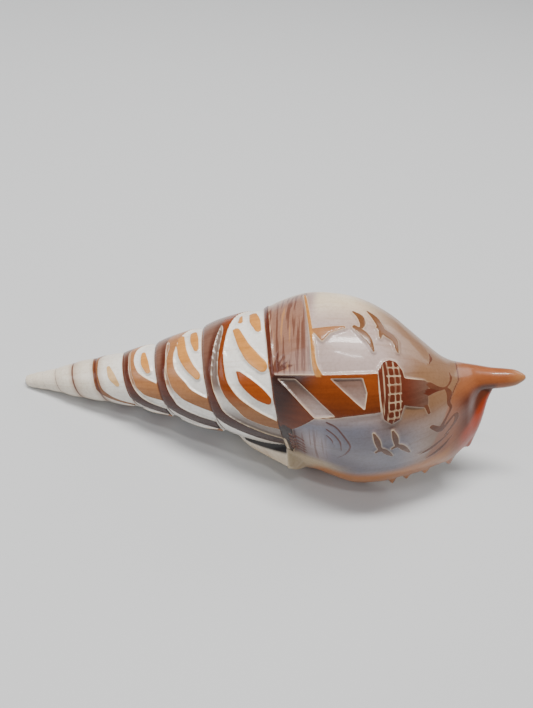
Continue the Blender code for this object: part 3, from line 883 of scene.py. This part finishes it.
def mesh_of(name, points, triangles):
    """Object at the origin with these points in metres and these triangles, shaded smooth."""
    data = bpy.data.meshes.new(name)
    data.vertices.add(len(points))
    data.vertices.foreach_set("co", points.astype(np.float32).ravel())
    data.loops.add(len(triangles) * 3)
    data.loops.foreach_set("vertex_index", triangles.astype(np.int32).ravel())
    data.polygons.add(len(triangles))
    data.polygons.foreach_set("loop_start", np.arange(0, len(triangles) * 3, 3, dtype=np.int32))
    data.update(calc_edges=True)
    data.validate()
    data.shade_smooth()
    piece = bpy.data.objects.new(name, data)
    bpy.context.scene.collection.objects.link(piece)
    return piece


def store(data, name, values):
    """Keep values or colours on the mesh's points under a name."""
    kind, key = ("FLOAT", "value") if values.ndim == 1 else ("FLOAT_COLOR", "color")
    if values.ndim == 2:
        values = np.column_stack([values, np.ones(len(values))])
    layer = data.attributes.new(name, kind, "POINT")
    layer.data.foreach_set(key, values.astype(np.float32).ravel())


class Value:
    """A shader socket of numbers, whose arithmetic adds Math nodes."""

    def __init__(self, graph, socket):
        self.graph, self.socket = graph, socket

    def math(self, kind, first, second):
        """Add a Math node on two values."""
        return self.graph.add("ShaderNodeMath", {"operation": kind}, {0: first, 1: second})

    def __add__(self, other):
        return self.math("ADD", self, other)

    def __sub__(self, other):
        return self.math("SUBTRACT", self, other)

    def __rsub__(self, other):
        return self.math("SUBTRACT", other, self)

    def __mul__(self, other):
        return self.math("MULTIPLY", self, other)

    __radd__ = __add__
    __rmul__ = __mul__

    def smooth(self, low, high):
        """Smooth share of the way from low to high."""
        steps = {0: self, 1: low, 2: high}
        return self.graph.add("ShaderNodeMapRange", {"interpolation_type": "SMOOTHSTEP"}, steps)


class Graph:
    """The nodes of one new material."""

    def __init__(self, name):
        self.material = bpy.data.materials.new(name)
        self.material.use_nodes = True
        self.tree = self.material.node_tree

    def fill(self, node, values):
        """Link or set a node's sockets by their names or numbers."""
        for key, value in values.items():
            if isinstance(value, Value):
                self.tree.links.new(value.socket, node.inputs[key])
            else:
                node.inputs[key].default_value = value

    def add(self, kind, settings=None, values=None, output=0):
        """Add a node with its settings and its sockets' values or links, and return one of its outputs."""
        node = self.tree.nodes.new(kind)
        for name, setting in (settings or {}).items():
            setattr(node, name, setting)
        self.fill(node, values or {})
        return Value(self, node.outputs[output])

    def finish(self, values):
        """Feed the material's own shader, and return the material."""
        self.fill(self.tree.nodes["Principled BSDF"], values)
        return self.material

    def attribute(self, name, output="Fac"):
        """Value, colour or vector that the mesh stores under a name."""
        return self.add("ShaderNodeAttribute", {"attribute_name": name}, output=output)

    def mix(self, share, low, high, blend="MIX"):
        """Colour from low to high by a share, or blended in another way by it."""
        kinds = {"data_type": "RGBA", "blend_type": blend}
        return self.add("ShaderNodeMix", kinds, {0: share, 6: low, 7: high}, output=2)

    def stain(self, share, colour, by):
        """Colour multiplied by a plain colour, in a share."""
        return self.mix(share, colour, by + (1.0,), "MULTIPLY")

    def stretch(self, where, by):
        """Coordinates times a vector."""
        return self.add("ShaderNodeVectorMath", {"operation": "MULTIPLY"}, {0: where, 1: by})

    def noise(self, where, scale, detail, rough=0.55):
        """Noise from 0 to 1 at the coordinates, with a scale, octaves and their roughness."""
        values = {"Vector": where, "Scale": scale, "Detail": detail, "Roughness": rough}
        return self.add("ShaderNodeTexNoise", {}, values)


def shell_material(sizes, colours):
    """Polished shell: skin and raised layers parted by pale cut edges, with stains, scratches and low gloss.

    A point is on a raised layer where its distance inside a figure, roughened by fine noise, is over zero.
    """
    g = Graph("carved_shell")
    where = g.add("ShaderNodeTexCoord", output="Object")
    raised, pale, dark, gap = [g.attribute(name) for name in DISTANCES]
    panel, reed = [g.attribute(name) for name in SHARES]
    tint, skin = [g.attribute(name, "Color") for name in COLOURS]
    turned = g.attribute("turned", "Vector")
    growth = g.noise(g.stretch(turned, (0.05, 1.0, 1.0)), 0.9, 5.0, 0.6)
    stalks = g.noise(g.stretch(turned, (1.0, 0.06, 0.06)), 1.15, 2.0, 0.5)
    cloudy = g.noise(where, 26.0, 3.0)
    mottle = g.noise(where, 70.0, 4.0)
    fine = g.noise(where, 420.0, 5.0, 0.65)
    grit = g.noise(where, 1300.0, 4.0, 0.6)
    edge = raised + (fine - 0.5) * 0.16
    on = edge.smooth(-0.05, 0.05)
    off = 1.0 - on
    skin = g.stain(mottle.smooth(0.35, 0.75) * 0.30, skin, (0.66, 0.55, 0.43))
    skin = g.stain(growth.smooth(0.50, 0.70) * 0.32, skin, (0.66, 0.50, 0.38))
    skin = g.stain(cloudy.smooth(0.50, 0.66) * 0.28, skin, (0.80, 0.62, 0.44))
    tint = g.stain(cloudy.smooth(0.38, 0.68) * 0.45, tint, (0.55, 0.42, 0.36))
    tint = g.stain(growth.smooth(0.40, 0.65) * 0.35, tint, (0.58, 0.50, 0.44))
    colour = g.stain(grit.smooth(0.42, 0.66) * 0.30, g.mix(on, skin, tint), (0.70, 0.62, 0.56))
    chalky = 0.25 + 0.75 * mottle.smooth(0.40, 0.62)
    cut = edge.smooth(-0.28, -0.12) * (1.0 - edge.smooth(-0.02, 0.10)) * panel * chalky
    scratch = (dark + (fine - 0.5) * 0.12).smooth(-0.10, 0.06) + reed * off * stalks.smooth(0.54, 0.60) * 0.8
    for share, paint in (
            (cut * 0.6, colours.cut_line),
            (scratch * 0.85, colours.scratch),
            (reed.smooth(0.8, 0.95) * off * stalks.smooth(0.40, 0.34) * 0.4, GOLD),
            (pale.smooth(-0.10, 0.06) * 0.5, colours.cut_line),
            # Near black in the slit beside the wing: painted shadow.
            (gap.smooth(-0.10, 0.10), SHADE_UMBER * 0.12)):
        colour = g.mix(share, colour, tuple(paint) + (1.0,))
    rough = 0.31 - 0.08 * on + 0.10 * panel * off * mottle.smooth(0.3, 0.7) + (fine - 0.5) * 0.10
    height = on * 0.35 - scratch * 0.5 - pale.smooth(-0.08, 0.05) * 0.5
    height = height + fine * 0.22 + grit * 0.16 + growth * 0.45 + mottle * 0.30
    bump = g.add("ShaderNodeBump", {}, {"Height": height, "Strength": 0.35, "Distance": 0.00025})
    return g.finish({
        "Base Color": colour, "Roughness": rough, "Normal": bump, "IOR": 1.37,
        "Coat Weight": sizes.gloss * (1.0 - 0.6 * on), "Coat Roughness": 0.09})


def plain_material(name, colour, roughness):
    """Even, matt material with a faint cloudiness."""
    g = Graph(name)
    cloud = g.noise(g.add("ShaderNodeTexCoord", output="Object"), 6.0, 3.0)
    shade = g.mix(cloud.smooth(0.3, 0.7) * 0.05, tuple(colour) + (1.0,), (0.6, 0.6, 0.6, 1.0))
    return g.finish({"Base Color": shade, "Roughness": roughness})


class OBJECT_OT_carved_shell(bpy.types.Operator):
    """Build the carved shell's fine surface in place of its solid"""
    bl_idname = "object.carved_shell"
    bl_label = "Carved shell"

    def execute(self, context):
        sizes, colours = context.scene.shell_sizes, context.scene.shell_colours
        surface = Surface()
        lip, inner = add_outside(surface, sizes)
        add_aperture(surface, lip, inner)
        points = np.concatenate(surface.points)
        looks = {name: np.concatenate([look[name] for look in surface.looks]) for name in surface.looks[0]}
        piece = mesh_of("shell_surface", lay_down(points) * MM, np.concatenate(surface.faces))
        for name in DISTANCES + SHARES + COLOURS:
            store(piece.data, name, looks[name])
        angle = np.arctan2(points[:, 2], points[:, 1])
        around = [TURNED_RADIUS * np.cos(angle), TURNED_RADIUS * np.sin(angle)]
        store(piece.data, "turned", np.stack([points[:, 0]] + around, axis=1))
        piece.data.materials.append(shell_material(sizes, colours))
        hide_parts("shell")
        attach(piece, "root")
        return {"FINISHED"}


# Stage, in metres and degrees: the camera of the photo, its field from the frame's height, and soft lights.
# A light is its name, place, size, power and colour.
CAMERA_PLACE = (-0.00581, -0.12712, 0.15969)
CAMERA_TURN = (44.186, -7.631, 5.076)
CAMERA_LENS = 32.54
SENSOR_HEIGHT = 36.0
CLIP_START = 0.01
FLOOR_HALF = 3.0
FLOOR_ROUGHNESS = 0.6
LIGHTS = (
    ("key", (-0.02, 0.10, 0.80), (0.50, 0.09), 8.2, (1.0, 0.98, 0.95)),
    ("fill", (-0.75, -0.35, 0.50), (0.50, 0.50), 2.6, (0.95, 0.97, 1.0)),
    ("glint", (-0.03, -0.17, 0.80), (0.26, 0.03), 0.9, (1.0, 0.99, 0.97)),
    ("side", (0.50, 0.45, 0.45), (0.40, 0.40), 1.4, (1.0, 0.98, 0.96)))
LIGHTS_AIM = (0.0, 0.0, 0.02)
WORLD_COLOUR = (0.93, 0.96, 1.0, 1.0)
WORLD_LIGHT = 0.24


class OBJECT_OT_shell_stage(bpy.types.Operator):
    """Lay a pale floor, hang soft lights and set the camera at the photo's angle"""
    bl_idname = "object.shell_stage"
    bl_label = "Stage"

    def execute(self, context):
        scene = context.scene
        corners = FLOOR_HALF * np.array([(-1, -1, 0), (1, -1, 0), (1, 1, 0), (-1, 1, 0)])
        floor = mesh_of("floor", corners, np.array([(0, 1, 2), (0, 2, 3)]))
        floor.data.materials.append(
            plain_material("pale_floor", scene.shell_colours.backdrop, FLOOR_ROUGHNESS))
        for name, spot, size, power, colour in LIGHTS:
            light = bpy.data.lights.new(name, "AREA")
            light.shape, light.energy, light.color = "RECTANGLE", power, colour
            light.size, light.size_y = size
            lamp = bpy.data.objects.new(name, light)
            lamp.location = spot
            away = np.array(spot) - LIGHTS_AIM
            tilt = math.acos(away[2] / np.linalg.norm(away))
            lamp.rotation_euler = (tilt, 0.0, math.atan2(away[1], away[0]) + math.pi / 2)
            scene.collection.objects.link(lamp)
        world = bpy.data.worlds.new("studio")
        world.use_nodes = True
        background = world.node_tree.nodes["Background"]
        background.inputs["Color"].default_value = WORLD_COLOUR
        background.inputs["Strength"].default_value = WORLD_LIGHT
        scene.world = world
        data = bpy.data.cameras.new("camera")
        data.sensor_fit, data.sensor_height, data.lens = "VERTICAL", SENSOR_HEIGHT, CAMERA_LENS
        data.clip_start = CLIP_START
        camera = bpy.data.objects.new("camera", data)
        camera.location = CAMERA_PLACE
        camera.rotation_euler = [math.radians(angle) for angle in CAMERA_TURN]
        scene.collection.objects.link(camera)
        scene.camera = camera
        return {"FINISHED"}


class VIEW3D_PT_carved_shell(bpy.types.Panel):
    """Sidebar panel with the shell's values and its operators"""
    bl_idname = "VIEW3D_PT_carved_shell"
    bl_label = "Carved shell"
    bl_space_type = "VIEW_3D"
    bl_region_type = "UI"
    bl_category = "Shell"

    def draw(self, context):
        for group in (context.scene.shell_sizes, context.scene.shell_colours):
            for name in group.__annotations__:
                self.layout.prop(group, name)
        self.layout.operator(OBJECT_OT_carved_shell.bl_idname)
        self.layout.operator(OBJECT_OT_shell_stage.bl_idname)


CLASSES = (ShellSizes, ShellColours, OBJECT_OT_carved_shell, OBJECT_OT_shell_stage, VIEW3D_PT_carved_shell)


def register():
    """Register the classes and hang their values on the scene."""
    for kind in CLASSES:
        bpy.utils.register_class(kind)
    bpy.types.Scene.shell_sizes = bpy.props.PointerProperty(type=ShellSizes)
    bpy.types.Scene.shell_colours = bpy.props.PointerProperty(type=ShellColours)


def unregister():
    """Take the classes and their values away again."""
    del bpy.types.Scene.shell_sizes
    del bpy.types.Scene.shell_colours
    for kind in reversed(CLASSES):
        bpy.utils.unregister_class(kind)


def main():
    """Build the shell and its stage."""
    register()
    bpy.ops.object.carved_shell()
    bpy.ops.object.shell_stage()


if __name__ == "__main__":
    main()
